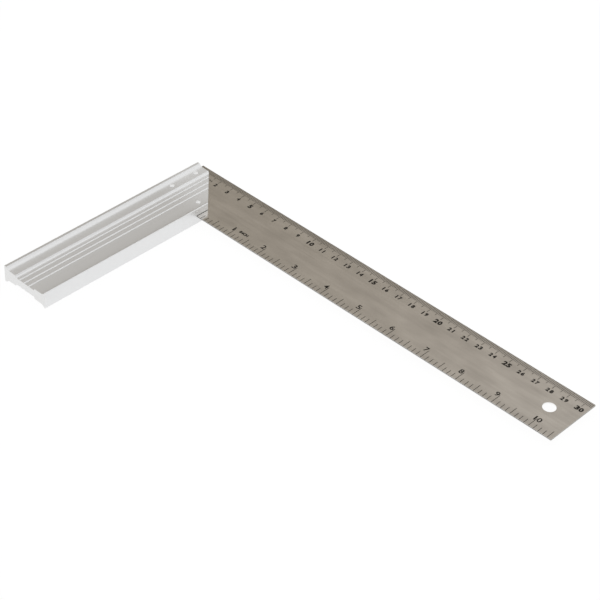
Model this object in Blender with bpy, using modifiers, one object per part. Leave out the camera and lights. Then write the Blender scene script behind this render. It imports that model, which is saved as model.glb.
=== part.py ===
"""Try and mitre square: a drawn aluminium stock with a riveted steel rule for a blade.

The stock is a length of extruded section: a flange along each edge and, between them on
both broad sides, two floors with a grooved recess. One end is cut to a 45 degree mitre
and slotted across. The blade lies in that slot, flush with the stock's outer face, and
three countersunk rivets pass through stock and blade. Nothing on the square moves.

Frame: metres, +Z up. +X runs along the blade, the stock runs along -Y, and the origin
is the middle of the square's footprint on the bench.
"""

import math

import bmesh
import bpy
import numpy as np
from mathutils import Vector

# Blade
BLADE_LENGTH = 0.3048
BLADE_WIDTH = 0.03955
BLADE_THICKNESS = 0.0008
HANGING_HOLE_DIAMETER = 0.0078
HANGING_HOLE_FROM_END = 0.01645

# Stock, overall
STOCK_WIDTH = 0.0354
STOCK_THICKNESS = 0.011
STOCK_LENGTH = 0.1536
BLADE_PROJECTION = 0.005
END_LAND = 0.01
MITRE_ANGLE = math.radians(45.0)

# Stock section, one broad side
COVE_DEPTH = 0.0018
RECESS_DEPTH = 0.00125
OUTER_FLANGE_LAND = 0.0018
OUTER_COVE_RUN = 0.0028
OUTER_FLOOR = 0.005
RECESS_OUTER_RUN = 0.0017
INNER_FLANGE_LAND = 0.0006
INNER_COVE_RUN = 0.0025
INNER_FLOOR = 0.0061
RECESS_INNER_RUN = 0.0008
FIRST_GROOVE_FROM_RECESS = 0.00205
GROOVE_PITCH = 0.00395
GROOVE_WIDTH = 0.0009
GROOVE_DEPTH = 0.00045
GROOVE_COUNT = 3

# Rivets, placed from the stock's two faces, its slotted end and the blade's inner edge
RIVET_SHANK_DIAMETER = 0.002
RIVET_HEAD_DIAMETER = 0.003
RIVET_HEAD_PROUD = 0.0003
RIVET_HEAD_DOME = 0.00015
OUTER_RIVETS_FROM_OUTER_FACE = 0.0059
INNER_RIVET_FROM_WORKING_FACE = 0.0064
FRONT_RIVET_FROM_END = 0.0074
BACK_RIVETS_FROM_BLADE_EDGE = 0.00725

# Fits
SLOT_CLEARANCE = 0.0003
RIVET_CLEARANCE = 0.0003

# Facets
COVE_SEGMENTS = 8
HOLE_SEGMENTS = 48
RIVET_SEGMENTS = 32
DOME_SEGMENTS = 3

# How far a cutter runs past what it cuts, and how near two points are to be one
OVERCUT = 0.002
WELD_DISTANCE = 1e-6

# Bare metals: base colour and roughness
STOCK_METAL = ((0.78, 0.78, 0.77), 0.38)
BLADE_METAL = ((0.50, 0.47, 0.43), 0.22)
RIVET_METAL = ((0.86, 0.86, 0.86), 0.3)

STOCK_END = -BLADE_PROJECTION
STOCK_FAR_END = STOCK_END - STOCK_LENGTH


def clear_scene():
    """Remove every object, so that the square stands alone."""
    for obj in list(bpy.data.objects):
        bpy.data.objects.remove(obj, do_unlink=True)


def new_collection(name):
    """Return a new collection linked to the scene."""
    collection = bpy.data.collections.new(name)
    bpy.context.scene.collection.children.link(collection)
    return collection


def new_material(name, metal):
    """Return a bare metal material."""
    colour, roughness = metal
    material = bpy.data.materials.new(name)
    material.use_nodes = True
    shader = material.node_tree.nodes["Principled BSDF"]
    shader.inputs["Base Color"].default_value = (*colour, 1.0)
    shader.inputs["Roughness"].default_value = roughness
    shader.inputs["Metallic"].default_value = 1.0
    return material


def add_object(name, data, collection, parent):
    """Link a new object for some data, held by the square's corner frame."""
    obj = bpy.data.objects.new(name, data)
    collection.objects.link(obj)
    obj.parent = parent
    return obj


def make_cutter(obj):
    """Mark an object as a cutter that isn't part of the square."""
    obj.hide_render = True
    obj.display_type = "WIRE"
    return obj


def cut(piece, cutters):
    """Take the shapes of a collection of cutters out of a piece, all at once."""
    boolean = piece.modifiers.new("cuts", "BOOLEAN")
    boolean.operation = "DIFFERENCE"
    boolean.solver = "EXACT"
    boolean.operand_type = "COLLECTION"
    boolean.collection = cutters


def circle(centre, radius, segments):
    """Return the points of a circle in the plane."""
    turns = [2.0 * math.pi * step / segments for step in range(segments)]
    return [(centre[0] + radius * math.cos(turn), centre[1] + radius * math.sin(turn)) for turn in turns]


def flat_outline(name, loops, thickness, collection, parent):
    """Return a flat curve object with an outer loop, any holes and a thickness."""
    curve = bpy.data.curves.new(name, "CURVE")
    curve.dimensions = "2D"
    curve.fill_mode = "BOTH"
    curve.extrude = thickness / 2.0
    for loop in loops:
        spline = curve.splines.new("POLY")
        spline.points.add(len(loop) - 1)
        for point, place in zip(spline.points, loop):
            point.co = (place[0], place[1], 0.0, 1.0)
        spline.use_cyclic_u = True
    return add_object(name, curve, collection, parent)


def curve_to_mesh(curve_object):
    """Replace a curve object by a mesh object of the same name, with its caps welded on."""
    bpy.context.view_layer.update()
    depsgraph = bpy.context.evaluated_depsgraph_get()
    mesh = bpy.data.meshes.new_from_object(curve_object.evaluated_get(depsgraph))
    work = bmesh.new()
    work.from_mesh(mesh)
    bmesh.ops.remove_doubles(work, verts=work.verts, dist=WELD_DISTANCE)
    work.to_mesh(mesh)
    work.free()
    name = curve_object.name
    collection = curve_object.users_collection[0]
    parent = curve_object.parent
    place = curve_object.matrix_world.copy()
    bpy.data.objects.remove(curve_object, do_unlink=True)
    piece = add_object(name, mesh, collection, parent)
    piece.matrix_world = place
    return piece


def box_cutter(name, low, high, collection, parent):
    """Return a box cutter between two corners."""
    mesh = bpy.data.meshes.new(name)
    work = bmesh.new()
    bmesh.ops.create_cube(work, size=1.0)
    size = Vector(high) - Vector(low)
    bmesh.ops.scale(work, vec=size, verts=work.verts)
    work.to_mesh(mesh)
    work.free()
    cutter = make_cutter(add_object(name, mesh, collection, parent))
    cutter.location = (Vector(low) + Vector(high)) / 2.0
    return cutter


def cove(start, run, drop):
    """Return the points of a hollow arc that runs down to a level floor, without its start.

    Where the drop is more than the run, an upright wall stands over a quarter circle.
    """
    radius = run if drop > run else (run * run + drop * drop) / (2.0 * drop)
    sweep = math.asin(run / radius)
    floor = start[1] - drop
    points = []
    for step in range(1, COVE_SEGMENTS + 1):
        angle = sweep * (1.0 - step / COVE_SEGMENTS)
        across = start[0] + run - radius * math.sin(angle)
        points.append((across, floor + radius * (1.0 - math.cos(angle))))
    return points


def edge_side(flange_land, cove_run, floor, recess_run):
    """Return one edge of a broad side, from the edge's face to the foot of the recess.

    Each point is a distance from the edge's face and a height over the middle plane.
    """
    top = STOCK_THICKNESS / 2.0
    points = [(0.0, top), (flange_land, top)]
    points += cove(points[-1], cove_run, COVE_DEPTH)
    points.append((points[-1][0] + floor, points[-1][1]))
    points += cove(points[-1], recess_run, RECESS_DEPTH)
    return points


def flank():
    """Return one broad side of the section, from the outer face to the working face.

    Each point is a distance from the outer face and a height over the middle plane.
    """
    outer = edge_side(OUTER_FLANGE_LAND, OUTER_COVE_RUN, OUTER_FLOOR, RECESS_OUTER_RUN)
    inner = edge_side(INNER_FLANGE_LAND, INNER_COVE_RUN, INNER_FLOOR, RECESS_INNER_RUN)
    foot, floor = outer[-1]
    grooves = []
    for count in range(GROOVE_COUNT):
        middle = foot + FIRST_GROOVE_FROM_RECESS + count * GROOVE_PITCH
        grooves.append((middle - GROOVE_WIDTH / 2.0, floor))
        grooves.append((middle, floor - GROOVE_DEPTH))
        grooves.append((middle + GROOVE_WIDTH / 2.0, floor))
    return outer + grooves + [(STOCK_WIDTH - across, height) for across, height in reversed(inner)]


def flank_height(across):
    """Return the section's height over its middle plane at a distance from the outer face."""
    distances, heights = zip(*flank())
    return float(np.interp(across, distances, heights))


def rivet_profile(half_length, grow):
    """Return the half profile of a countersunk rivet, top to bottom, as radius and height.

    half_length is the height of the head's edge over the blade's middle, and grow is
    added all round, for the hole.
    """
    head = RIVET_HEAD_DIAMETER / 2.0
    shank = RIVET_SHANK_DIAMETER / 2.0
    sink = half_length - RIVET_HEAD_PROUD - (head - shank)
    upper = []
    for step in range(DOME_SEGMENTS + 1):
        out = math.sin(0.5 * math.pi * step / DOME_SEGMENTS)
        rise = RIVET_HEAD_DOME * (1.0 - out * out)
        upper.append(((head + grow) * out, half_length + rise + grow))
    upper.append((head + grow, half_length - RIVET_HEAD_PROUD))
    upper.append((shank + grow, sink))
    return upper + [(radius, -height) for radius, height in reversed(upper)]


def turned(name, profile, collection, parent):
    """Return a mesh object turned from a half profile about its own Z axis."""
    mesh = bpy.data.meshes.new(name)
    work = bmesh.new()
    points = [work.verts.new((radius, 0.0, height)) for radius, height in profile]
    for first, second in zip(points, points[1:]):
        work.edges.new((first, second))
    work.to_mesh(mesh)
    work.free()
    piece = add_object(name, mesh, collection, parent)
    screw = piece.modifiers.new("turn", "SCREW")
    screw.steps = RIVET_SEGMENTS
    screw.render_steps = RIVET_SEGMENTS
    screw.use_merge_vertices = True
    screw.merge_threshold = WELD_DISTANCE
    screw.use_smooth_shade = False
    return piece


def make_stock(parts, cutters, corner):
    """Build the stock: the section drawn out, with cutters for the blade's slot and the mitre."""
    upper = flank()
    section = upper + [(across, -height) for across, height in reversed(upper)]
    outline = flat_outline("stock", [section], STOCK_LENGTH, parts, corner)
    outline.rotation_euler = (math.radians(90.0), 0.0, 0.0)
    outline.location = (0.0, (STOCK_END + STOCK_FAR_END) / 2.0, 0.0)
    stock = curve_to_mesh(outline)

    half_slot = BLADE_THICKNESS / 2.0 + SLOT_CLEARANCE
    slot_floor = -BLADE_WIDTH - SLOT_CLEARANCE
    box_cutter(
        "blade_slot",
        (-OVERCUT, slot_floor, -half_slot),
        (STOCK_WIDTH + OVERCUT, STOCK_END + OVERCUT, half_slot),
        cutters,
        corner,
    )

    reach = STOCK_WIDTH / math.cos(MITRE_ANGLE) + STOCK_WIDTH
    tall = STOCK_THICKNESS / 2.0 + OVERCUT
    mitre = box_cutter("mitre_cut", (-reach, 0.0, -tall), (reach, reach, tall), cutters, corner)
    out = Vector((math.sin(MITRE_ANGLE), math.cos(MITRE_ANGLE), 0.0))
    mitre.rotation_euler = (0.0, 0.0, -MITRE_ANGLE)
    mitre.location = Vector((END_LAND, STOCK_END, 0.0)) + out * (reach / 2.0)
    return stock


def make_blade(rivet_places, parts, corner):
    """Build the blade: a flat rule with a hanging hole and the holes of its rivets."""
    rectangle = [(0.0, 0.0), (0.0, -BLADE_WIDTH), (BLADE_LENGTH, -BLADE_WIDTH), (BLADE_LENGTH, 0.0)]
    hole_centre = (BLADE_LENGTH - HANGING_HOLE_FROM_END, -BLADE_WIDTH / 2.0)
    loops = [rectangle, circle(hole_centre, HANGING_HOLE_DIAMETER / 2.0, HOLE_SEGMENTS)]
    rivet_hole = RIVET_SHANK_DIAMETER / 2.0 + RIVET_CLEARANCE
    for place in rivet_places:
        loops.append(circle(place, rivet_hole, RIVET_SEGMENTS))
    return curve_to_mesh(flat_outline("blade", loops, BLADE_THICKNESS, parts, corner))


def make_rivet(name, place, parts, cutters, corner):
    """Build one rivet, with a cutter for its countersunk hole in the stock."""
    half_length = flank_height(place[0]) + RIVET_HEAD_PROUD
    rivet = turned(name, rivet_profile(half_length, 0.0), parts, corner)
    rivet.location = (*place, 0.0)
    hole = make_cutter(turned(name + "_hole", rivet_profile(half_length, RIVET_CLEARANCE), cutters, corner))
    hole.location = (*place, 0.0)
    return rivet


def main():
    """Build the square's pieces and give each one its metal."""
    clear_scene()
    parts = new_collection("try_and_mitre_square")
    cutters = new_collection("cutters")

    corner = bpy.data.objects.new("outer_corner", None)
    parts.objects.link(corner)
    corner.location = (-BLADE_LENGTH / 2.0, -STOCK_FAR_END / 2.0, STOCK_THICKNESS / 2.0)

    front = STOCK_END - FRONT_RIVET_FROM_END
    back = BACK_RIVETS_FROM_BLADE_EDGE - BLADE_WIDTH
    rivet_places = {
        "front_rivet": (OUTER_RIVETS_FROM_OUTER_FACE, front),
        "outer_rivet": (OUTER_RIVETS_FROM_OUTER_FACE, back),
        "inner_rivet": (STOCK_WIDTH - INNER_RIVET_FROM_WORKING_FACE, back),
    }

    stock = make_stock(parts, cutters, corner)
    stock.data.materials.append(new_material("drawn_aluminium", STOCK_METAL))

    blade = make_blade(rivet_places.values(), parts, corner)
    blade.data.materials.append(new_material("stainless_steel", BLADE_METAL))

    rivet_metal = new_material("rivet_aluminium", RIVET_METAL)
    for name, place in rivet_places.items():
        rivet = make_rivet(name, place, parts, cutters, corner)
        rivet.data.materials.append(rivet_metal)

    cut(stock, cutters)


main()
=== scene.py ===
"""Try and mitre square: the looks of a drawn aluminium stock and its graduated steel blade.

Lengths are in metres, in the frame of the solids. The pieces are drawn from the square's
outer corner: +X runs along the blade, -Y along the stock, and Z is counted from the
blade's middle plane. CORNER then carries them to where the solids are.
"""

import logging
import math
from collections.abc import Sequence
from dataclasses import dataclass, field, replace
from enum import Enum

import bmesh
import bpy
from mathutils import Matrix, Quaternion, Vector


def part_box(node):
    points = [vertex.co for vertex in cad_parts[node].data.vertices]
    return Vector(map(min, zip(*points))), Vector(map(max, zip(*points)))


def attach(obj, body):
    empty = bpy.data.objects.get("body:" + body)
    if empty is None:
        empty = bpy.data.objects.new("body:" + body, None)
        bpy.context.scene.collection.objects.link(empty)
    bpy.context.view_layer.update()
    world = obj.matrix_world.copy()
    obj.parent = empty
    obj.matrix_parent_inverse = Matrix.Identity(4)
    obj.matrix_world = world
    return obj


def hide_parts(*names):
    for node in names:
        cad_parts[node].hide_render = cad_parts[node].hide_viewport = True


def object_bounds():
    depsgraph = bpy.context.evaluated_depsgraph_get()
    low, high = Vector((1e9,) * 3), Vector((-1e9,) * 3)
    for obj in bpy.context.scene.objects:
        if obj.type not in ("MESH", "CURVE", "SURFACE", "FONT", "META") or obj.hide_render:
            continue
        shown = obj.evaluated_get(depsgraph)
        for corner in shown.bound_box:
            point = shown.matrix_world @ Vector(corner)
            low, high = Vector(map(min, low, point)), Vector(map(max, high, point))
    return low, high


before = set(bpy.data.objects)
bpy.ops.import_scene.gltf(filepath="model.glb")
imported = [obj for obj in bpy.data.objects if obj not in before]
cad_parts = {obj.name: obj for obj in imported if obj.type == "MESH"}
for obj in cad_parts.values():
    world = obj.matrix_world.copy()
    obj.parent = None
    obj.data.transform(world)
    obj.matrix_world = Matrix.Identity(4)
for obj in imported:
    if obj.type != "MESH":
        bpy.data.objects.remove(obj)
CAD_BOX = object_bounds()
BLADE_LOW, BLADE_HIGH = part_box("blade")
CORNER = Vector((BLADE_LOW.x, BLADE_HIGH.y, (BLADE_LOW.z + BLADE_HIGH.z) / 2.0))

LOG = logging.getLogger("square")

Triple = tuple[float, float, float]
Colour = Triple
Point = tuple[float, float]
Box = tuple[float, float, float, float]
Tick = tuple[float, float, float, float]
Stops = tuple[tuple[float, Colour], ...]
Piece = bpy.types.Object
Material = bpy.types.Material

BODY = "root"
MILLIMETRE = 0.001
CENTIMETRE = 0.01
INCH = 0.0254
WELD = 1e-7
CREASE = math.radians(28.0)
MIX_FACTOR, MIX_FIRST, MIX_SECOND = 0, 6, 7
MIX_COLOUR = 2
HALF = 0.5
FLUSH_COSINE = 0.9999
SAWN_COSINE = 0.6
LINE_DETAIL = 3.0
WHITE: Colour = (1.0, 1.0, 1.0)
UP: Triple = (0.0, 0.0, 1.0)
TURNED_FROM = {"9": "6"}


class Wire:
    """One output of a shader node, which can take part in arithmetic."""

    def __init__(self, graph: "Graph", socket: bpy.types.NodeSocket) -> None:
        """Hold a node's output and the graph that its arithmetic goes into."""
        self.graph = graph
        self.socket = socket

    def __add__(self, other: "Wire | float") -> "Wire":
        """Return the sum."""
        return self.graph.math("ADD", self, other)

    def __sub__(self, other: "Wire | float") -> "Wire":
        """Return the difference."""
        return self.graph.math("SUBTRACT", self, other)

    def __mul__(self, other: "Wire | float") -> "Wire":
        """Return the product."""
        return self.graph.math("MULTIPLY", self, other)


class Graph:
    """A node tree that is written as expressions."""

    def __init__(self, tree: bpy.types.NodeTree) -> None:
        """Hold the node tree of a material or of the world."""
        self.tree = tree

    def feed(self, socket: bpy.types.NodeSocket, value: object) -> None:
        """Link a wire to a socket, or set a number on it, or a colour or vector as a tuple."""
        if isinstance(value, Wire):
            self.tree.links.new(value.socket, socket)
        elif isinstance(value, tuple) and socket.type == "RGBA":
            socket.default_value = (*value, 1.0)
        else:
            socket.default_value = value

    def node(
        self,
        kind: str,
        settings: dict[str, object] | None = None,
        inputs: dict[str | int, object] | None = None,
        output: str | int = 0,
    ) -> Wire:
        """Add a node.

        Args:
            kind: The node's type.
            settings: Its properties, set first; "stops" fills a colour ramp.
            inputs: The values or wires of its sockets.
            output: The output that is returned.

        Returns:
            The wire of that output.
        """
        made = self.tree.nodes.new(kind)
        for key, value in (settings or {}).items():
            if key == "stops":
                self.set_stops(made.color_ramp, value)
            else:
                setattr(made, key, value)
        for key, value in (inputs or {}).items():
            self.feed(made.inputs[key], value)
        return Wire(self, made.outputs[output])

    @staticmethod
    def set_stops(ramp: bpy.types.ColorRamp, stops: Stops) -> None:
        """Fill a colour ramp with each stop's place and colour, in order."""
        while len(ramp.elements) < len(stops):
            ramp.elements.new(1.0)
        for element, (place, colour) in zip(ramp.elements, stops):
            element.position = place
            element.color = (*colour, 1.0)

    def math(self, operation: str, first: Wire | float, second: Wire | float) -> Wire:
        """Return the wire of one Math node."""
        return self.node("ShaderNodeMath", {"operation": operation}, {0: first, 1: second})


class Paint(Graph):
    """A material with one Principled shader, and the patterns that its finishes use."""

    def __init__(self, name: str) -> None:
        """Start a material of a given name."""
        self.material = bpy.data.materials.new(name)
        self.material.use_nodes = True
        super().__init__(self.material.node_tree)
        self.shader = self.tree.nodes["Principled BSDF"]
        self.place = self.node("ShaderNodeTexCoord", output="Object")

    def noise(self, grain: Triple, detail: float = 2.0) -> Wire:
        """Return a noise from 0 to 1, with so many features to a metre along X, Y and Z."""
        turned = self.node("ShaderNodeMapping", inputs={"Vector": self.place, "Scale": grain})
        return self.node(
            "ShaderNodeTexNoise", inputs={"Vector": turned, "Scale": 1.0, "Detail": detail}, output="Fac"
        )

    def blend(self, factor: Wire, first: Wire | Colour, second: Wire | Colour) -> Wire:
        """Return a colour between two others."""
        inputs = {MIX_FACTOR: factor, MIX_FIRST: first, MIX_SECOND: second}
        return self.node("ShaderNodeMix", {"data_type": "RGBA"}, inputs, MIX_COLOUR)

    def rise(self, axis: str, start: float, end: float) -> Wire:
        """Return a wire that rises from 0 to 1 between two places along an axis."""
        along = self.node("ShaderNodeSeparateXYZ", inputs={0: self.place}, output=axis)
        inputs = {"Value": along, "From Min": start, "From Max": end}
        return self.node("ShaderNodeMapRange", {"interpolation_type": "SMOOTHSTEP"}, inputs)

    def bump(self, height: Wire, strength: float, depth: float) -> Wire:
        """Return a normal that is bumped by a height."""
        inputs = {"Strength": strength, "Distance": depth, "Height": height}
        return self.node("ShaderNodeBump", inputs=inputs)

    def set(self, **sockets: object) -> Material:
        """Fill the shader's sockets, their spaces written as underscores; return the material."""
        for key, value in sockets.items():
            self.feed(self.shader.inputs[key.replace("_", " ")], value)
        return self.material


@dataclass(frozen=True)
class LinedMetal:
    """A bare metal with fine lines along one axis.

    Attributes:
        name: The material's name.
        pale: The colour on the lines' crests.
        dark: The colour between them.
        roughness: The mean roughness.
        lines: The fine lines' grain, per axis.
        clouds: The broad patches' grain, per axis.
        swing: How far the lines move the roughness.
        depth: The lines' depth as bump.
        strength: The bump's strength.
        metallic: How metallic it is; a matt skin takes some of the shine away.
        cloud_share: The patches' share in the colour; the lines have the rest.
        contrast: How much the patches are sharpened.
    """

    name: str
    pale: Colour
    dark: Colour
    roughness: float
    lines: Triple
    clouds: Triple
    swing: float = 0.1
    depth: float = 0.00001
    strength: float = 0.1
    metallic: float = 1.0
    cloud_share: float = 0.4
    contrast: float = 1.0

    def colour(self, paint: Paint, mixed: Wire) -> Wire:
        """Return the colour, which follows the lines and patches."""
        return paint.blend(mixed, self.dark, self.pale)

    def rough(self, paint: Paint, mixed: Wire) -> Wire:
        """Return the roughness, which follows them too."""
        return (mixed - HALF) * self.swing + self.roughness

    def material(self) -> Material:
        """Return the finish as a material."""
        paint = Paint(self.name)
        lines = paint.noise(self.lines, LINE_DETAIL)
        clouds = (paint.noise(self.clouds) - HALF) * self.contrast + HALF
        mixed = lines * (1.0 - self.cloud_share) + clouds * self.cloud_share
        return paint.set(
            Base_Color=self.colour(paint, mixed),
            Metallic=self.metallic,
            Roughness=self.rough(paint, mixed),
            Normal=paint.bump(lines, self.strength, self.depth),
        )


@dataclass(frozen=True)
class RubbedMetal(LinedMetal):
    """A lined metal that is duller towards its worked end, and painted lighter there.

    The lighter colour is painted light; the dulling is roughness.

    Attributes:
        clean: The lighter colour of the painted light.
        cleaning: That colour's share at the worked end.
        dulling: How much rougher it is at that end.
        rubbed_from: Where the dulling and the painted light start, along Y.
        rubbed_to: Where they are full.
    """

    # Painted light: this lighter colour is mixed in towards the worked end.
    clean: Colour = (0.896, 0.899, 0.901)
    cleaning: float = 0.7
    dulling: float = 0.08
    rubbed_from: float = 0.032
    rubbed_to: float = 0.062

    def rubbed(self, paint: Paint) -> Wire:
        """Return a wire from 0 to 1 that says how much the metal is dulled and painted lighter."""
        return paint.rise("Y", self.rubbed_from, self.rubbed_to)

    def colour(self, paint: Paint, mixed: Wire) -> Wire:
        """Return the colour, with the painted light's lighter colour mixed in."""
        return paint.blend(self.rubbed(paint) * self.cleaning, super().colour(paint, mixed), self.clean)

    def rough(self, paint: Paint, mixed: Wire) -> Wire:
        """Return the roughness, with the dulling added."""
        return super().rough(paint, mixed) + self.rubbed(paint) * self.dulling


@dataclass(frozen=True)
class FilledInk:
    """The dark filling of the graduations and figures.

    Attributes:
        name: The material's name.
        dense: The filling where it is whole.
        worn: The filling where it is rubbed thin.
        roughness: Its roughness where it is whole.
        swing: How much rougher it is where it is rubbed.
        shine: Its specular level.
        grain: The grain of the wear, per axis.
    """

    name: str = "filled_ink"
    dense: Colour = (0.006, 0.005, 0.004)
    worn: Colour = (0.022, 0.018, 0.014)
    roughness: float = 0.55
    swing: float = 0.2
    shine: float = 0.15
    grain: Triple = (900.0, 900.0, 900.0)

    def material(self) -> Material:
        """Return the finish as a material."""
        paint = Paint(self.name)
        wear = paint.noise(self.grain)
        return paint.set(
            Base_Color=paint.blend(wear, self.dense, self.worn),
            Roughness=wear * self.swing + self.roughness,
            Specular_IOR_Level=self.shine,
        )


class Finish(Enum):
    """The finishes of the square's pieces."""

    # Drawn aluminium, duller and painted lighter (painted light) towards its worked end.
    DRAWN = RubbedMetal(
        name="drawn_aluminium",
        pale=(0.856, 0.859, 0.861),
        dark=(0.796, 0.799, 0.801),
        roughness=0.48,
        lines=(2600.0, 5.0, 2600.0),
        clouds=(90.0, 9.0, 90.0),
        depth=0.00002,
        strength=0.08,
    )
    SAWN = LinedMetal(
        name="sawn_aluminium",
        pale=(0.84, 0.84, 0.835),
        dark=(0.74, 0.74, 0.735),
        roughness=0.36,
        swing=0.2,
        lines=(60.0, 60.0, 3200.0),
        clouds=(220.0, 220.0, 220.0),
        depth=0.00002,
        strength=0.3,
    )
    # Painted shade: the mitre and the other faces that look along +Y are coloured far darker than sawn
    # aluminium, so that their reflection shades the blade beside the mitre.
    MITRED = replace(
        SAWN,
        name="mitred_aluminium",
        pale=(0.56, 0.555, 0.545),
        dark=(0.46, 0.455, 0.445),
        roughness=0.42,
    )
    BRUSHED = LinedMetal(
        name="brushed_stainless",
        pale=(0.856, 0.827, 0.785),
        dark=(0.645, 0.624, 0.592),
        roughness=0.18,
        swing=0.05,
        lines=(14.0, 800.0, 800.0),
        clouds=(50.0, 130.0, 130.0),
        strength=0.12,
        cloud_share=0.45,
        contrast=3.0,
    )
    # Sheared steel of the blade's edges, coloured much darker than the steel of its faces: painted shade
    # along the edges.
    SHEARED = LinedMetal(
        name="sheared_stainless",
        pale=(0.40, 0.39, 0.375),
        dark=(0.30, 0.29, 0.275),
        roughness=0.5,
        lines=(900.0, 900.0, 60.0),
        clouds=(90.0, 90.0, 90.0),
        strength=0.15,
    )
    DRILLED = LinedMetal(
        name="drilled_stainless",
        pale=(0.96, 0.955, 0.945),
        dark=(0.88, 0.875, 0.865),
        roughness=0.3,
        lines=(60.0, 60.0, 4000.0),
        clouds=(200.0, 200.0, 200.0),
    )
    RIVET = LinedMetal(
        name="rivet_aluminium",
        pale=(0.96, 0.96, 0.955),
        dark=(0.91, 0.91, 0.905),
        roughness=0.6,
        lines=(1500.0, 1500.0, 1500.0),
        clouds=(400.0, 400.0, 400.0),
        metallic=0.2,
    )
    INK = FilledInk()


Palette = dict[Finish, Material]


def add(name: str, data: bpy.types.ID) -> Piece:
    """Return a new object in the scene, at the origin."""
    made = bpy.data.objects.new(name, data)
    bpy.context.scene.collection.objects.link(made)
    return made


class Draft:
    """A mesh in the making."""

    def __init__(self) -> None:
        """Start an empty mesh."""
        self.work = bmesh.new()

    def face(self, points: Sequence[Sequence[float]]) -> bmesh.types.BMFace:
        """Return one face through a few points."""
        return self.work.faces.new([self.work.verts.new(point) for point in points])

    def block(self, middle: Sequence[float], size: Sequence[float]) -> None:
        """Add a box."""
        matrix = Matrix.Translation(middle) @ Matrix.Diagonal((*size, 1.0))
        bmesh.ops.create_cube(self.work, size=1.0, matrix=matrix)

    def round_corner(self, vert: bmesh.types.BMVert, reach: float, steps: int) -> None:
        """Round a corner of a flat face; the reach is where that starts along both its sides."""
        bmesh.ops.bevel(
            self.work, geom=[vert], offset=reach, affect="VERTICES", segments=steps, profile=HALF
        )

    def draw_out(self, faces: Sequence[bmesh.types.BMFace], travel: Sequence[float]) -> None:
        """Extrude flat faces to a solid along a straight line."""
        made = bmesh.ops.extrude_face_region(self.work, geom=list(faces))["geom"]
        verts = [part for part in made if isinstance(part, bmesh.types.BMVert)]
        bmesh.ops.translate(self.work, verts=verts, vec=travel)
        self.close()

    def saw(self, point: Sequence[float], normal: Sequence[float]) -> None:
        """Cut everything off in front of a plane, and close the cut."""
        geom = [*self.work.verts, *self.work.edges, *self.work.faces]
        bmesh.ops.bisect_plane(
            self.work, geom=geom, dist=WELD, plane_co=point, plane_no=normal, clear_outer=True
        )
        rim = [edge for edge in self.work.edges if edge.is_boundary]
        bmesh.ops.edgeloop_fill(self.work, edges=rim)
        self.close()

    def facing(self, normal: Sequence[float]) -> list[bmesh.types.BMFace]:
        """Return the faces that look along a direction."""
        aim = Vector(normal).normalized()
        return [face for face in self.work.faces if face.normal.dot(aim) > FLUSH_COSINE]

    def chamfer(self, faces: Sequence[bmesh.types.BMFace], size: float) -> None:
        """Raise flat faces by a small step with sloping sides."""
        bmesh.ops.inset_region(
            self.work,
            faces=list(faces),
            use_boundary=True,
            use_even_offset=True,
            thickness=size,
            depth=size,
        )

    def close(self) -> None:
        """Merge doubles and turn the faces outwards."""
        bmesh.ops.remove_doubles(self.work, verts=self.work.verts, dist=WELD)
        bmesh.ops.recalc_face_normals(self.work, faces=self.work.faces)

    def finish(self, name: str, corner: Vector = CORNER) -> Piece:
        """Return the mesh as an object at the origin, with its points carried to a corner."""
        bmesh.ops.translate(self.work, verts=self.work.verts, vec=corner)
        mesh = bpy.data.meshes.new(name)
        self.work.to_mesh(mesh)
        self.work.free()
        return add(name, mesh)


def carve(piece: Piece, cutters: Sequence[Piece]) -> None:
    """Take cutters out of a piece, all at once, and remove them.

    Args:
        piece: The piece, whose mesh is replaced.
        cutters: The shapes to take out.
    """
    group = bpy.data.collections.new("cutters")
    bpy.context.scene.collection.children.link(group)
    for cutter in cutters:
        bpy.context.scene.collection.objects.unlink(cutter)
        group.objects.link(cutter)
    boolean = piece.modifiers.new("carve", "BOOLEAN")
    boolean.operation = "DIFFERENCE"
    boolean.solver = "EXACT"
    boolean.operand_type = "COLLECTION"
    boolean.collection = group
    depsgraph = bpy.context.evaluated_depsgraph_get()
    carved = bpy.data.meshes.new_from_object(piece.evaluated_get(depsgraph))
    piece.modifiers.clear()
    piece.data = carved
    carved.name = piece.name
    for cutter in cutters:
        bpy.data.objects.remove(cutter, do_unlink=True)
    bpy.data.collections.remove(group)


def coat(piece: Piece, metals: Palette, *kinds: Finish) -> None:
    """Give a piece its finishes, in the order of its faces' numbers."""
    piece.data.materials.clear()
    for kind in kinds:
        piece.data.materials.append(metals[kind])


def crease(piece: Piece) -> None:
    """Shade a piece smooth, apart from its edges, and keep its flats flat."""
    work = bmesh.new()
    work.from_mesh(piece.data)
    for face in work.faces:
        face.smooth = True
    for edge in work.edges:
        edge.smooth = edge.calc_face_angle(0.0) < CREASE
    work.to_mesh(piece.data)
    work.free()
    weighted = piece.modifiers.new("flats", "WEIGHTED_NORMAL")
    weighted.keep_sharp = True


def settle(piece: Piece, slot: str | None, *nodes: str) -> None:
    """Let a piece ride on the square, and hide the solids that it stands for.

    Args:
        piece: The finished piece.
        slot: The name of the record's material slot for the piece; it is not used.
        nodes: The solids that it stands for.
    """
    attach(piece, BODY)
    if nodes:
        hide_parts(*nodes)
    LOG.info("%s: %d faces", piece.name, len(piece.data.polygons))


class Rounding(Enum):
    """How far from a corner its rounding starts, and how many edges the rounding has."""

    KEEN = (0.00007, 2)
    CRISP = (0.0001, 3)
    EASED = (0.0002, 4)
    SOFT = (0.0005, 6)

    def at(self, across: float, height: float) -> "Corner":
        """Return a corner of the section that is rounded so."""
        return Corner(across, height, *self.value)


@dataclass
class Corner:
    """A corner of the stock's section.

    Attributes:
        across: Its distance from the outer face.
        height: Its height over the middle plane.
        reach: How far from it its rounding starts.
        steps: How many edges the rounding has.
    """

    across: float
    height: float
    reach: float
    steps: int


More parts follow.
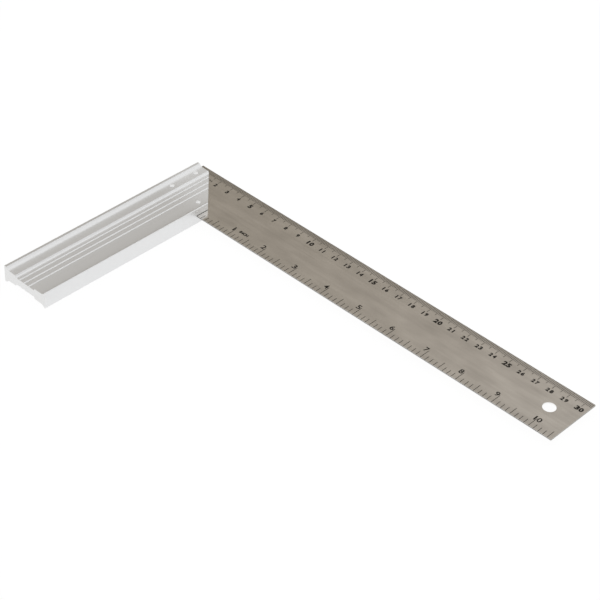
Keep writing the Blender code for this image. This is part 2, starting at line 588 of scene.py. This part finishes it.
@dataclass(frozen=True)
class Flange:
    """A flange of the stock, with its cove and the floor that the cove runs out into.

    Attributes:
        land: The width of the flange's top.
        run: The run of the cove.
        floor: The width of the floor.
        tail: How far the cove runs out into the floor.
        share: How much of the cove is one arc.
        slope: The slope of the run-out.
    """

    land: float
    run: float
    floor: float
    tail: float
    share: float
    slope: float = math.radians(3.0)

    @property
    def edge(self) -> float:
        """The distance of the floor's far edge from the flange's side of the stock."""
        return self.land + self.run + self.floor


@dataclass
class Rivet:
    """A countersunk rivet through stock and blade.

    Attributes:
        name: The piece's name.
        node: The solid that it stands for.
        place: Its distance along the blade and from the blade's outer edge.
        floor: The height of the stock's floor around it.
        head: The head's radius.
        shank: The shank's radius.
        proud: How far the head's rim stands over the floor.
        dome: How far the head's middle stands over its rim.
        edge: The rounding of the head's rim.
        seat: How far the head's straight side goes down into the floor.
        gap: The gap round it in its hole.
        rings: How many rings the head's dome has.
        steps: How many facets it has round it.
    """

    name: str
    node: str
    place: Point
    floor: float
    head: float = 0.0015
    shank: float = 0.001
    proud: float = 0.00012
    dome: float = 0.00045
    edge: float = 0.00002
    seat: float = 0.0001
    gap: float = 0.00005
    rings: int = 6
    steps: int = 40

    def half_profile(self, grow: float) -> list[Point]:
        """Return radius and height from the head's middle to its shank."""
        rim = self.floor + self.proud
        seat = self.floor - self.seat
        points = []
        for ring in range(self.rings):
            share = ring / self.rings
            points.append((self.head * share, rim + self.dome * (1.0 - share * share)))
        return points + [
            (self.head - self.edge + grow, rim + self.edge),
            (self.head + grow, rim - self.edge),
            (self.head + grow, seat),
            (self.shank + grow, seat - (self.head - self.shank)),
        ]

    def turned(self, name: str, grow: float = 0.0) -> Piece:
        """Return the rivet, or its hole if it grows, as a turned piece."""
        upper = self.half_profile(grow)
        profile = upper + [(radius, -height) for radius, height in reversed(upper)]
        draft = Draft()
        verts = [draft.work.verts.new((radius, 0.0, height)) for radius, height in profile]
        edges = [draft.work.edges.new(pair) for pair in zip(verts, verts[1:])]
        bmesh.ops.spin(
            draft.work, geom=[*verts, *edges], axis=UP, angle=math.tau, steps=self.steps, use_merge=True
        )
        draft.close()
        bmesh.ops.translate(draft.work, verts=draft.work.verts, vec=(*self.place, 0.0))
        return draft.finish(name)

    def build(self) -> Piece:
        """Return the rivet."""
        return self.turned(self.name)

    def hole(self) -> Piece:
        """Return a cutter for the rivet's hole."""
        return self.turned(self.name + "_hole", self.gap)

    def dress(self, piece: Piece, metals: Palette) -> None:
        """Give the rivet its metal and let it ride."""
        coat(piece, metals, Finish.RIVET)
        crease(piece)
        settle(piece, "rivet", self.node)


@dataclass
class Stock:
    """The stock: a drawn section, mitred and slotted at one end.

    Attributes:
        width: From the outer face to the working face.
        thickness: Over the flanges.
        length: Along the stock.
        end_gap: How far the blade stands out past the stock's end.
        end_land: The square part of that end, from the outer face to the mitre.
        cove_depth: The floors' depth under the flanges.
        recess_depth: The recess's depth under the floors.
        outer: The outer flange.
        land_slope: How far that flange's top leans outwards.
        inner: The inner flange.
        recess_run: The run of the hollow from the outer floor to the recess.
        wall_foot: The radius at the foot of the recess's inner wall.
        first_groove: From the foot of the hollow to the first groove's middle.
        groove_pitch: From groove to groove.
        groove_width: A groove's width.
        groove_depth: A groove's depth.
        groove_count: How many grooves there are.
        chamfer: The chamfer of the sawn ends.
        recess_share: How much of the hollow to the recess is one arc.
        tail_share: How much of a run-out's foot is rounded.
        hollow_steps: How many edges a hollow has.
        tail_steps: How many edges a run-out's foot has.
        wall_steps: How many edges the foot of the recess's inner wall has.
        slot_gap: The gap over and under the blade.
        slot_end: The gap behind the blade's inner edge.
        overcut: How far the slot's cutter runs past the stock.
    """

    width: float = 0.0354
    thickness: float = 0.011
    length: float = 0.1536
    end_gap: float = 0.005
    end_land: float = 0.01
    cove_depth: float = 0.0018
    recess_depth: float = 0.00125
    outer: Flange = Flange(land=0.0018, run=0.0028, floor=0.005, tail=0.0029, share=0.94)
    land_slope: float = math.radians(4.5)
    inner: Flange = Flange(land=0.0006, run=0.0025, floor=0.0061, tail=0.0042, share=0.92)
    recess_run: float = 0.0017
    wall_foot: float = 0.0008
    first_groove: float = 0.00205
    groove_pitch: float = 0.00395
    groove_width: float = 0.0009
    groove_depth: float = 0.00045
    groove_count: int = 3
    chamfer: float = 0.00005
    recess_share: float = 0.84
    tail_share: float = 0.9
    hollow_steps: int = 14
    tail_steps: int = 5
    wall_steps: int = 7
    slot_gap: float = 0.0003
    slot_end: float = 0.00008
    overcut: float = 0.002

    @property
    def floor(self) -> float:
        """The floors' height over the middle plane."""
        return self.thickness / 2.0 - self.cove_depth

    @property
    def recess(self) -> float:
        """The recess's height over the middle plane."""
        return self.floor - self.recess_depth

    @staticmethod
    def hollow(run: float, drop: float) -> Point:
        """Return where the two tangents of a hollow meet, and how long they are.

        Args:
            run: The hollow's width, from its upper edge to where it meets the floor.
            drop: Its height.

        Returns:
            The distance of the meeting point from the upper edge, and the tangents' length.
        """
        radius = (run * run + drop * drop) / (2.0 * drop)
        tangent = radius * math.tan(math.asin(run / radius) / 2.0)
        return run - tangent, tangent

    def cove(self, flange: Flange) -> list[Corner]:
        """Return the foot of a flange's cove and the end of its run-out, from the flange's side."""
        lift = flange.tail * math.tan(flange.slope)
        meeting, reach = self.hollow(flange.run, self.cove_depth - lift)
        foot = flange.land + meeting
        run_out = (flange.tail - reach) * self.tail_share
        return [
            Corner(foot, self.floor + lift, reach * flange.share, self.hollow_steps),
            Corner(foot + flange.tail, self.floor, run_out, self.tail_steps),
        ]

    def outer_side(self) -> list[Corner]:
        """Return the corners from the outer face to the recess."""
        top = self.thickness / 2.0
        land, edge = self.outer.land, self.outer.edge
        fall, reach = self.hollow(self.recess_run, self.recess_depth)
        return [
            Rounding.CRISP.at(0.0, top - land * math.tan(self.land_slope)),
            Rounding.CRISP.at(land, top),
            *self.cove(self.outer),
            Rounding.EASED.at(edge, self.floor),
            Corner(edge + fall, self.recess, reach * self.recess_share, self.hollow_steps),
        ]

    def grooves(self) -> list[Corner]:
        """Return the corners of the recess's grooves."""
        foot = self.outer.edge + self.recess_run
        half = self.groove_width / 2.0
        corners = []
        for count in range(self.groove_count):
            middle = foot + self.first_groove + count * self.groove_pitch
            corners.append(Rounding.KEEN.at(middle - half, self.recess))
            corners.append(Rounding.CRISP.at(middle, self.recess - self.groove_depth))
            corners.append(Rounding.EASED.at(middle + half, self.recess))
        return corners

    def inner_side(self) -> list[Corner]:
        """Return the corners from the recess to the working face."""
        top = self.thickness / 2.0
        wall = self.width - self.inner.edge
        cove = [replace(part, across=self.width - part.across) for part in self.cove(self.inner)]
        return [
            Corner(wall, self.recess, self.wall_foot, self.wall_steps),
            Rounding.EASED.at(wall, self.floor),
            *reversed(cove),
            Rounding.KEEN.at(self.width - self.inner.land, top),
            Rounding.SOFT.at(self.width, top),
        ]

    def section(self) -> list[Corner]:
        """Return the section's corners, once round."""
        upper = self.outer_side() + self.grooves() + self.inner_side()
        return upper + [replace(part, height=-part.height) for part in reversed(upper)]

    def build(self, blade: "Blade", rivets: Sequence[Rivet]) -> Piece:
        """Draw the section out, saw its ends, and carve the slot and the rivets' holes.

        Args:
            blade: The blade that the slot takes.
            rivets: The rivets that the holes take.

        Returns:
            The stock's piece.
        """
        draft = Draft()
        corners = self.section()
        far = -self.end_gap - self.length + self.chamfer
        near = -self.end_gap - self.chamfer
        section = draft.face([(part.across, far, part.height) for part in corners])
        for vert, part in zip(list(section.verts), corners):
            draft.round_corner(vert, part.reach, part.steps)
        draft.draw_out(draft.work.faces[:], (0.0, near - far, 0.0))
        slant = Vector((1.0, 1.0, 0.0)).normalized()
        draft.saw(Vector((self.end_land, -self.end_gap, 0.0)) - slant * self.chamfer, slant)
        for aim in ((0.0, -1.0, 0.0), (0.0, 1.0, 0.0), slant):
            draft.chamfer(draft.facing(aim), self.chamfer)
        stock = draft.finish("drawn_stock")
        carve(stock, [self.slot(blade), *(rivet.hole() for rivet in rivets)])
        return stock

    def slot(self, blade: "Blade") -> Piece:
        """Return a cutter for the blade's slot."""
        floor = -blade.width - self.slot_end
        size = (self.width + 2.0 * self.overcut, -floor, blade.thickness + 2.0 * self.slot_gap)
        draft = Draft()
        draft.block((self.width / 2.0, floor / 2.0, 0.0), size)
        return draft.finish("slot")

    def dress(self, piece: Piece, metals: Palette) -> None:
        """Give the drawn, sawn and mitred faces their metals, the mitred ones darker as painted shade,
        and let the stock ride.
        """
        coat(piece, metals, Finish.DRAWN, Finish.SAWN, Finish.MITRED)
        # Faces that look along +Y, the mitre among them, take the darker metal of painted shade.
        for polygon in piece.data.polygons:
            turn = polygon.normal.y
            polygon.material_index = int(abs(turn) > SAWN_COSINE) + int(turn > SAWN_COSINE)
        crease(piece)
        settle(piece, "stock", "stock")


@dataclass
class Blade:
    """The blade: a flat rule with a hanging hole.

    Attributes:
        length: Along the blade.
        width: Across it.
        thickness: Its sheet's thickness.
        hole: The hanging hole's radius.
        hole_inset: From the blade's end to that hole's middle.
        corner: The radius of its corners.
        corner_steps: How many edges that rounding has.
        chamfer: The chamfer of its edges.
        hole_steps: How many facets the holes have.
    """

    length: float = 0.3048
    width: float = 0.03955
    thickness: float = 0.0008
    hole: float = 0.0039
    hole_inset: float = 0.01645
    corner: float = 0.00035
    corner_steps: int = 5
    chamfer: float = 0.00005
    hole_steps: int = 72

    @property
    def top(self) -> float:
        """The height of the graduated face over the middle plane."""
        return self.thickness / 2.0

    @property
    def hole_middle(self) -> Point:
        """The hanging hole's middle, along the blade and across it."""
        return self.length - self.hole_inset, -self.width / 2.0

    def build(self, rivets: Sequence[Rivet]) -> Piece:
        """Cut the sheet with its holes, and break its edges.

        Args:
            rivets: The rivets that pass through it.

        Returns:
            The blade's piece.
        """
        draft = Draft()
        work = draft.work
        half = self.top - self.chamfer
        rim = ((0.0, 0.0), (self.length, 0.0), (self.length, -self.width), (0.0, -self.width))
        for vert in draft.face([(*point, -half) for point in rim]).verts[:]:
            draft.round_corner(vert, self.corner, self.corner_steps)
        bmesh.ops.delete(work, geom=work.faces[:], context="FACES_ONLY")
        holes = [(self.hole_middle, self.hole)]
        holes += [(rivet.place, rivet.shank + rivet.gap) for rivet in rivets]
        for middle, radius in holes:
            at = Matrix.Translation((*middle, -half))
            bmesh.ops.create_circle(work, segments=self.hole_steps, radius=radius, matrix=at)
        bmesh.ops.triangle_fill(work, use_beauty=True, edges=work.edges[:])
        draft.draw_out(work.faces[:], (0.0, 0.0, 2.0 * half))
        for aim in (UP, (0.0, 0.0, -1.0)):
            draft.chamfer(draft.facing(aim), self.chamfer)
        return draft.finish("ruled_blade")

    def finish(self, polygon: bpy.types.MeshPolygon) -> Finish:
        """Return the finish of the blade's face, edge or hanging hole, whichever a polygon is on."""
        if abs(polygon.normal.z) > HALF:
            return Finish.BRUSHED
        away = (polygon.center - CORNER).to_2d() - Vector(self.hole_middle)
        return Finish.DRILLED if away.length < self.hole + self.chamfer else Finish.SHEARED

    def dress(self, piece: Piece, metals: Palette) -> None:
        """Give each side of the blade its steel and let the blade ride."""
        order = (Finish.BRUSHED, Finish.SHEARED, Finish.DRILLED)
        coat(piece, metals, *order)
        for polygon in piece.data.polygons:
            polygon.material_index = order.index(self.finish(polygon))
        crease(piece)
        settle(piece, "blade", "blade")


class Weight(Enum):
    """How heavy a figure's strokes are, as a share of its size."""

    PLAIN = 0.0
    FINE = 0.02
    LIGHT = 0.055
    BOLD = 0.058


@dataclass
class Figure:
    """A number or word on a scale.

    Attributes:
        text: What it says.
        middle: The middle of its box, along the blade and across it.
        size: Its box's width and height.
        weight: How heavy its strokes are.
    """

    text: str
    middle: Point
    size: Point
    weight: Weight


@dataclass
class Scale:
    """A scale of ticks and figures, filled with ink.

    Attributes:
        name: The piece's name.
        unit: The unit's word.
        word: That word's place, width and height.
        word_weight: How heavy its strokes are.
        parts: How many ticks there are to a unit.
        last: The last tick.
        long: The length of a unit's tick.
        middling: The length of a half unit's tick.
        short: The length of the other ticks.
        tick: A tick's width.
        slim: The width of the digit 1, as a share of another's.
        proud: How far the ink stands over the steel.
        sunk: How far it reaches into it.
        curve_steps: How many edges each stretch of a figure's outline has.
    """

    name: str
    unit: str
    word: Box
    word_weight: Weight
    parts: int
    last: int
    long: float
    middling: float
    short: float
    tick: float
    slim: float
    proud: float = 0.000012
    sunk: float = 0.00001
    curve_steps: int = 3

    def ticks(self) -> list[Tick]:
        """Return each tick's place along the blade, its outer end, its inner end and its width."""
        raise NotImplementedError

    def numbers(self) -> list[Figure]:
        """Return the digits of the scale's numbers."""
        raise NotImplementedError

    def tick_length(self, count: int) -> float:
        """Return how long a tick is."""
        if count % self.parts == 0:
            return self.long
        return self.short if count % (self.parts // 2) else self.middling

    def span(self, digit: str, wide: float) -> float:
        """Return how wide a digit is, where the others have a given width."""
        return wide * self.slim if digit == "1" else wide

    def lay_tick(self, draft: Draft, top: float, tick: Tick) -> None:
        """Add one tick to a mesh."""
        along, outer, inner, width = tick
        middle = (along, (outer + inner) / 2.0, top + (self.proud - self.sunk) / 2.0)
        draft.block(middle, (width, outer - inner, self.proud + self.sunk))

    def lay_figure(self, draft: Draft, top: float, figure: Figure) -> None:
        """Add one figure to a mesh, from text that fills its box.

        A 9 is a 6 turned round, because its own outline crosses itself when it is thickened.
        """
        text = bpy.data.curves.new("figure", "FONT")
        text.body = TURNED_FROM.get(figure.text, figure.text)
        text.resolution_u = self.curve_steps
        text.offset = figure.weight.value
        text.extrude = HALF
        holder = add("figure", text)
        depsgraph = bpy.context.evaluated_depsgraph_get()
        mesh = bpy.data.meshes.new_from_object(holder.evaluated_get(depsgraph))
        bpy.data.objects.remove(holder, do_unlink=True)
        spots = list(zip(*(vert.co for vert in mesh.vertices)))
        low = Vector(map(min, spots))
        high = Vector(map(max, spots))
        target = (*figure.size, self.proud + self.sunk)
        stretch = Matrix.Diagonal((*(want / have for want, have in zip(target, high - low)), 1.0))
        middle = Vector((*figure.middle, top + (self.proud - self.sunk) / 2.0))
        turn = Matrix.Rotation(math.pi if figure.text in TURNED_FROM else 0.0, 4, "Z")
        centred = Matrix.Translation(-(low + high) / 2.0)
        mesh.transform(Matrix.Translation(middle) @ stretch @ turn @ centred)
        draft.work.from_mesh(mesh)
        bpy.data.meshes.remove(mesh)

    def build(self, blade: Blade) -> Piece:
        """Return the scale's piece, on the blade's graduated face."""
        draft = Draft()
        for tick in self.ticks():
            self.lay_tick(draft, blade.top, tick)
        word = Figure(self.unit, self.word[:2], self.word[2:], self.word_weight)
        for figure in (*self.numbers(), word):
            self.lay_figure(draft, blade.top, figure)
        draft.close()
        return draft.finish(self.name)

    def dress(self, piece: Piece, metals: Palette) -> None:
        """Give the scale its ink and let it ride."""
        coat(piece, metals, Finish.INK)
        settle(piece, None)


@dataclass(frozen=True)
class Lettering:
    """How the numbers of the centimetre scale are written.

    Attributes:
        line: The distance of the digits' tops from the edge.
        digit: A digit's width and height.
        pitch: From one digit to the next.
        shift: How far a number stands to the right of its tick.
        weight: How heavy its strokes are.
    """

    line: float
    digit: Point
    pitch: float
    shift: float
    weight: Weight


@dataclass
class CentimetreScale(Scale):
    """The scale along the blade's outer edge, from the stock's outer face.

    Attributes:
        plain: How most numbers are written.
        bold: How the others are.
        bold_every: Which numbers are bold.
        first: The first number that the stock leaves free.
    """

    name: str = "centimetre_scale"
    unit: str = "CM"
    word: Box = (0.0138, -0.0082, 0.0042, 0.0021)
    word_weight: Weight = Weight.PLAIN
    parts: int = 10
    last: int = 304
    long: float = 0.0066
    middling: float = 0.0056
    short: float = 0.00385
    tick: float = 0.00029
    slim: float = 0.42
    plain: Lettering = Lettering(0.00742, (0.002, 0.003), 0.00256, 0.0002, Weight.LIGHT)
    bold: Lettering = Lettering(0.0072, (0.0026, 0.0036), 0.00272, 0.00035, Weight.BOLD)
    bold_every: int = 5
    first: int = 2

    def ticks(self) -> list[Tick]:
        """Return the millimetre ticks, of which the first stays on the blade."""
        made = []
        for count in range(self.last + 1):
            along = max(count * MILLIMETRE, self.tick / 2.0)
            made.append((along, 0.0, -self.tick_length(count), self.tick))
        return made

    def numbers(self) -> list[Figure]:
        """Return the digits of the centimetres' numbers."""
        made = []
        for number in range(self.first, self.last // self.parts + 1):
            kind = self.plain if number % self.bold_every else self.bold
            wide, tall = kind.digit
            digits = str(number)
            start = number * CENTIMETRE + kind.shift - (len(digits) - 1) * kind.pitch / 2.0
            for count, digit in enumerate(digits):
                middle = (start + count * kind.pitch, -kind.line - tall / 2.0)
                made.append(Figure(digit, middle, (self.span(digit, wide), tall), kind.weight))
        return made


@dataclass
class InchScale(Scale):
    """The scale along the blade's inner edge, from the stock's working face.

    Attributes:
        start: Where its zero is along the blade.
        edge: The distance of its edge from the outer edge.
        line: The distance of the figures' middle from the outer edge.
        digit: A digit's width and height.
        inset: From a digit to its tick.
        weight: How heavy the digits' strokes are.
    """

    name: str = "inch_scale"
    unit: str = "INCH"
    word: Box = (0.0673, -0.0314, 0.0067, 0.0022)
    word_weight: Weight = Weight.BOLD
    parts: int = 8
    last: int = 84
    long: float = 0.0078
    middling: float = 0.0062
    short: float = 0.0039
    tick: float = 0.00033
    slim: float = 0.36
    start: float = 0.0354
    edge: float = 0.03955
    line: float = 0.032
    digit: Point = (0.00265, 0.00375)
    inset: float = 0.00045
    weight: Weight = Weight.FINE

    def ticks(self) -> list[Tick]:
        """Return the eighths of an inch."""
        made = []
        for count in range(1, self.last + 1):
            along = self.start + count * INCH / self.parts
            made.append((along, self.tick_length(count) - self.edge, -self.edge, self.tick))
        return made

    def numbers(self) -> list[Figure]:
        """Return the digits of the inches' numbers, on both sides of the tick if there are two."""
        wide, tall = self.digit
        made = []
        for number in range(1, self.last // self.parts + 1):
            tick = self.start + number * INCH
            for digit, side in zip(str(number), (-1.0, 1.0)):
                span = self.span(digit, wide)
                along = tick + side * (self.inset + span / 2.0)
                made.append(Figure(digit, (along, -self.line), (span, tall), self.weight))
        return made


@dataclass
class Studio:
    """The floor, the light and the camera.

    Attributes:
        floor_size: The floor's side.
        floor_white: The floor's colour.
        floor_glow: The share of the floor's white that no shadow takes away.
        glow_light: How bright that share is.
        behind: The direction in which the studio is darkest, behind the square.
        sky: The sky's colour at cosines of the angle from there.
        before: The direction of the studio's open side, where the camera stands.
        opening: The share of the sky's light at cosines of the angle from there.
        lamp_size: The side of the soft lamp overhead.
        lamp_place: Where it hangs.
        lamp_power: Its power in watts.
        eye: The camera's place.
        gaze: The direction that it looks in.
        roll: Its roll.
        lens: Its focal length in millimetres, on a sensor of the usual width.
        sensor: That width in millimetres.
    """

    floor_size: float = 12.0
    floor_white: Colour = (0.96, 0.96, 0.96)
    floor_glow: float = 0.92
    glow_light: float = 1.025
    behind: Triple = (-0.740, 0.621, 0.259)
    sky: Stops = (
        (0.55, (0.925, 0.925, 0.925)),
        (0.64, (0.90, 0.905, 0.905)),
        (0.77, (0.70, 0.695, 0.685)),
        (0.857, (0.479, 0.444, 0.402)),
        (0.89, (0.435, 0.400, 0.356)),
        (0.92, (0.378, 0.343, 0.296)),
        (0.934, (0.343, 0.311, 0.265)),
        (0.97, (0.307, 0.279, 0.238)),
    )
    before: Triple = (0.62, -0.62, 0.48)
    opening: Stops = (
        (0.62, WHITE),
        (0.84, (0.74, 0.74, 0.74)),
        (0.93, (0.58, 0.58, 0.58)),
        (0.98, (0.52, 0.52, 0.52)),
    )
    lamp_size: float = 1.0
    lamp_place: Triple = (0.05, 0.05, 1.3)
    lamp_power: float = 0.8
    eye: Triple = (0.535485, -0.601086, 0.681843)
    gaze: Triple = (-0.515124, 0.583520, -0.627815)
    roll: float = math.radians(3.579)
    lens: float = 113.127
    sensor: float = 36.0

    @staticmethod
    def seen_ray(graph: Graph) -> Wire:
        """Return a wire that is 1 for what the camera, a reflection or glass sees."""
        kinds = ("Is Camera Ray", "Is Glossy Ray", "Is Transmission Ray")
        seen = [graph.node("ShaderNodeLightPath", output=kind) for kind in kinds]
        return graph.math("MINIMUM", seen[0] + seen[1] + seen[2], 1.0)

    def build_floor(self) -> None:
        """Lay a white floor that keeps the square's shadow."""
        draft = Draft()
        bmesh.ops.create_grid(draft.work, x_segments=1, y_segments=1, size=self.floor_size / 2.0)
        floor = draft.finish("floor", Vector((0.0, 0.0, CAD_BOX[0].z)))
        material = bpy.data.materials.new("white_floor")
        material.use_nodes = True
        graph = Graph(material.node_tree)
        matt = graph.node("ShaderNodeBsdfDiffuse", inputs={"Color": self.floor_white})
        light = {"Color": WHITE, "Strength": self.glow_light}
        glow = graph.node("ShaderNodeEmission", inputs=light)
        share = self.seen_ray(graph) * self.floor_glow
        mixed = graph.node("ShaderNodeMixShader", inputs={0: share, 1: matt, 2: glow})
        graph.feed(graph.tree.nodes["Material Output"].inputs["Surface"], mixed)
        floor.data.materials.append(material)

    def build_sky(self) -> None:
        """Light the scene from a white sky that is darker behind the square and before it."""
        world = bpy.data.worlds.new("studio")
        bpy.context.scene.world = world
        world.use_nodes = True
        graph = Graph(world.node_tree)
        aim = graph.node("ShaderNodeTexCoord", output="Generated")
        shades = []
        for axis, stops in ((self.behind, self.sky), (self.before, self.opening)):
            near = graph.node(
                "ShaderNodeVectorMath", {"operation": "DOT_PRODUCT"}, {0: aim, 1: axis}, "Value"
            )
            shades.append(graph.node("ShaderNodeValToRGB", {"stops": stops}, {"Fac": near}))
        both = graph.node(
            "ShaderNodeVectorMath", {"operation": "MULTIPLY"}, {0: shades[0], 1: shades[1]}
        )
        lit = graph.node("ShaderNodeBackground", inputs={"Color": both})
        white = graph.node("ShaderNodeBackground", inputs={"Color": WHITE})
        camera = graph.node("ShaderNodeLightPath", output="Is Camera Ray")
        mixed = graph.node("ShaderNodeMixShader", inputs={0: camera, 1: lit, 2: white})
        graph.feed(graph.tree.nodes["World Output"].inputs["Surface"], mixed)

    def build_lamp(self) -> None:
        """Hang one soft lamp overhead."""
        lamp = bpy.data.lights.new("soft_lamp", "AREA")
        lamp.size = self.lamp_size
        lamp.energy = self.lamp_power
        add("soft_lamp", lamp).location = self.lamp_place

    def build_camera(self) -> None:
        """Set the camera at the photograph's angle."""
        lens = bpy.data.cameras.new("camera")
        lens.lens = self.lens
        lens.sensor_width = self.sensor
        camera = add("camera", lens)
        camera.location = self.eye
        camera.rotation_mode = "QUATERNION"
        turn = Quaternion(UP, self.roll)
        camera.rotation_quaternion = Vector(self.gaze).to_track_quat("-Z", "Y") @ turn
        bpy.context.scene.camera = camera

    def build(self) -> None:
        """Set up the whole studio."""
        bpy.context.scene.view_settings.view_transform = "Standard"
        self.build_floor()
        self.build_sky()
        self.build_lamp()
        self.build_camera()


@dataclass
class Square:
    """The whole square.

    Attributes:
        stock: Its stock.
        blade: Its blade.
        scales: The scales on its blade.
        front: The front rivet's distance from the stock's end.
        back: The back rivets' distance from the blade's inner edge.
        outer: The outer rivets' distance from the outer face.
        inner: The inner rivet's distance from the working face.
    """

    stock: Stock = field(default_factory=Stock)
    blade: Blade = field(default_factory=Blade)
    scales: tuple[Scale, ...] = field(default_factory=lambda: (CentimetreScale(), InchScale()))
    front: float = 0.0074
    back: float = 0.00725
    outer: float = 0.0059
    inner: float = 0.0064

    def rivets(self) -> list[Rivet]:
        """Return the three rivets in their places."""
        front = -self.stock.end_gap - self.front
        back = self.back - self.blade.width
        inner = self.stock.width - self.inner
        return [
            Rivet("rivet_front", "front_rivet", (self.outer, front), self.stock.floor),
            Rivet("rivet_outer", "outer_rivet", (self.outer, back), self.stock.floor),
            Rivet("rivet_inner", "inner_rivet", (inner, back), self.stock.floor),
        ]

    def build(self) -> None:
        """Build and dress every piece."""
        metals = {finish: finish.value.material() for finish in Finish}
        rivets = self.rivets()
        self.stock.dress(self.stock.build(self.blade, rivets), metals)
        self.blade.dress(self.blade.build(rivets), metals)
        for rivet in rivets:
            rivet.dress(rivet.build(), metals)
        for scale in self.scales:
            scale.dress(scale.build(self.blade), metals)


def main() -> None:
    """Build the square and its studio."""
    logging.basicConfig(level=logging.INFO, format="%(name)s: %(message)s")
    Square().build()
    Studio().build()


if __name__ == "__main__":
    main()
